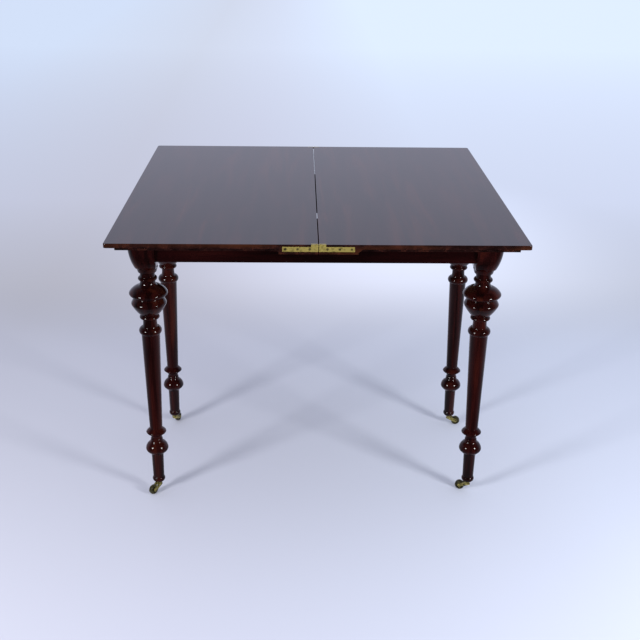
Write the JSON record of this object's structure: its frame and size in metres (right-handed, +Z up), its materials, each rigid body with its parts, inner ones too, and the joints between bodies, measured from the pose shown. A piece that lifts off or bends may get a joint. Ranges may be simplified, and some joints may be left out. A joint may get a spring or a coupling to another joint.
{
  "type": "card table",
  "caption": "Swivel-top card table: square moulded top that turns and folds in half on brass link hinges, turned legs on brass castors, card well in the frame.",
  "frame": {"origin": "on the floor under the middle of the open top", "axes": "+Z up, -Y towards the front edge, X along the frame, with the fixed leaf at -X"},
  "size_m": [0.88, 0.88, 0.748],
  "materials": {
    "polished_top": "french polished mahogany",
    "polished_rail": "french polished mahogany",
    "turned_leg": "french polished mahogany",
    "plain_wood": "planed and waxed",
    "iron": "dull",
    "hinge_brass": "aged, satin",
    "brass_screw": "aged, satin",
    "castor_brass": "tarnished"
  },
  "bodies": {
    "root": {"front_rail": "polished_rail", "back_rail": "polished_rail", "left_rail": "polished_rail", "right_rail": "polished_rail", "front_left_leg": "turned_leg", "front_right_leg": "turned_leg", "back_left_leg": "turned_leg", "back_right_leg": "turned_leg", "pivot_rail": "plain_wood", "well_partition": "plain_wood", "well_floor": "plain_wood", "well_bearers": "plain_wood", "glue_blocks": "plain_wood", "front_left_castor_plate": "castor_brass", "front_right_castor_plate": "castor_brass", "back_left_castor_plate": "castor_brass", "back_right_castor_plate": "castor_brass"},
    "top": {"fixed_leaf": "polished_top", "pivot_plate": "iron", "pivot_screws": "iron", "pivot_washer": "iron", "pivot_nut": "iron", "stop_peg": "plain_wood", "front_hinge_fixed_plate": "hinge_brass", "front_hinge_fixed_pin": "hinge_brass", "front_hinge_fixed_screws": "brass_screw", "back_hinge_fixed_plate": "hinge_brass", "back_hinge_fixed_pin": "hinge_brass", "back_hinge_fixed_screws": "brass_screw"},
    "hinge_links": {"front_hinge_link": "hinge_brass", "back_hinge_link": "hinge_brass"},
    "flap": {"flap_leaf": "polished_top", "front_hinge_flap_plate": "hinge_brass", "front_hinge_flap_pin": "hinge_brass", "front_hinge_flap_screws": "brass_screw", "back_hinge_flap_plate": "hinge_brass", "back_hinge_flap_pin": "hinge_brass", "back_hinge_flap_screws": "brass_screw"},
    "front_left_castor_swivel": {"front_left_castor_horn": "castor_brass", "front_left_castor_axle": "castor_brass"},
    "front_left_castor_roller": {"front_left_castor_wheel": "castor_brass"},
    "front_right_castor_swivel": {"front_right_castor_horn": "castor_brass", "front_right_castor_axle": "castor_brass"},
    "front_right_castor_roller": {"front_right_castor_wheel": "castor_brass"},
    "back_left_castor_swivel": {"back_left_castor_horn": "castor_brass", "back_left_castor_axle": "castor_brass"},
    "back_left_castor_roller": {"back_left_castor_wheel": "castor_brass"},
    "back_right_castor_swivel": {"back_right_castor_horn": "castor_brass", "back_right_castor_axle": "castor_brass"},
    "back_right_castor_roller": {"back_right_castor_wheel": "castor_brass"}
  },
  "joints": [
    {"name": "top_swivel", "type": "hinge", "parent": "root", "child": "top", "pos_m": [-0.11, 0.11, 0.7257], "axis": [0, 0, 1], "range_deg": [0, 90]},
    {"name": "link_fold", "type": "hinge", "parent": "top", "child": "hinge_links", "pos_m": [-0.003, 0, 0.7452], "axis": [0, -1, 0], "range_deg": [0, 90]},
    {"name": "flap_fold", "type": "hinge", "parent": "hinge_links", "child": "flap", "pos_m": [0.003, 0, 0.7452], "axis": [0, -1, 0], "range_deg": [0, 90]},
    {"name": "front_left_castor_turn", "type": "hinge", "parent": "root", "child": "front_left_castor_swivel", "pos_m": [-0.3934, -0.178, 0.0234], "axis": [0, 0, 1], "continuous": true},
    {"name": "front_left_wheel_roll", "type": "hinge", "parent": "front_left_castor_swivel", "child": "front_left_castor_roller", "pos_m": [-0.40626, -0.19332, 0.012], "axis": [-0.766, 0.6428, 0], "continuous": true},
    {"name": "front_right_castor_turn", "type": "hinge", "parent": "root", "child": "front_right_castor_swivel", "pos_m": [0.3934, -0.178, 0.0234], "axis": [0, 0, 1], "continuous": true},
    {"name": "front_right_wheel_roll", "type": "hinge", "parent": "front_right_castor_swivel", "child": "front_right_castor_roller", "pos_m": [0.37574, -0.16861, 0.012], "axis": [0.4695, 0.8829, 0], "continuous": true},
    {"name": "back_left_castor_turn", "type": "hinge", "parent": "root", "child": "back_left_castor_swivel", "pos_m": [-0.3934, 0.178, 0.0234], "axis": [0, 0, 1], "continuous": true},
    {"name": "back_left_wheel_roll", "type": "hinge", "parent": "back_left_castor_swivel", "child": "back_left_castor_roller", "pos_m": [-0.38722, 0.19702, 0.012], "axis": [0.9511, -0.309, 0], "continuous": true},
    {"name": "back_right_castor_turn", "type": "hinge", "parent": "root", "child": "back_right_castor_swivel", "pos_m": [0.3934, 0.178, 0.0234], "axis": [0, 0, 1], "continuous": true},
    {"name": "back_right_wheel_roll", "type": "hinge", "parent": "back_right_castor_swivel", "child": "back_right_castor_roller", "pos_m": [0.4134, 0.178, 0.012], "axis": [0, -1, 0], "continuous": true}
  ]
}
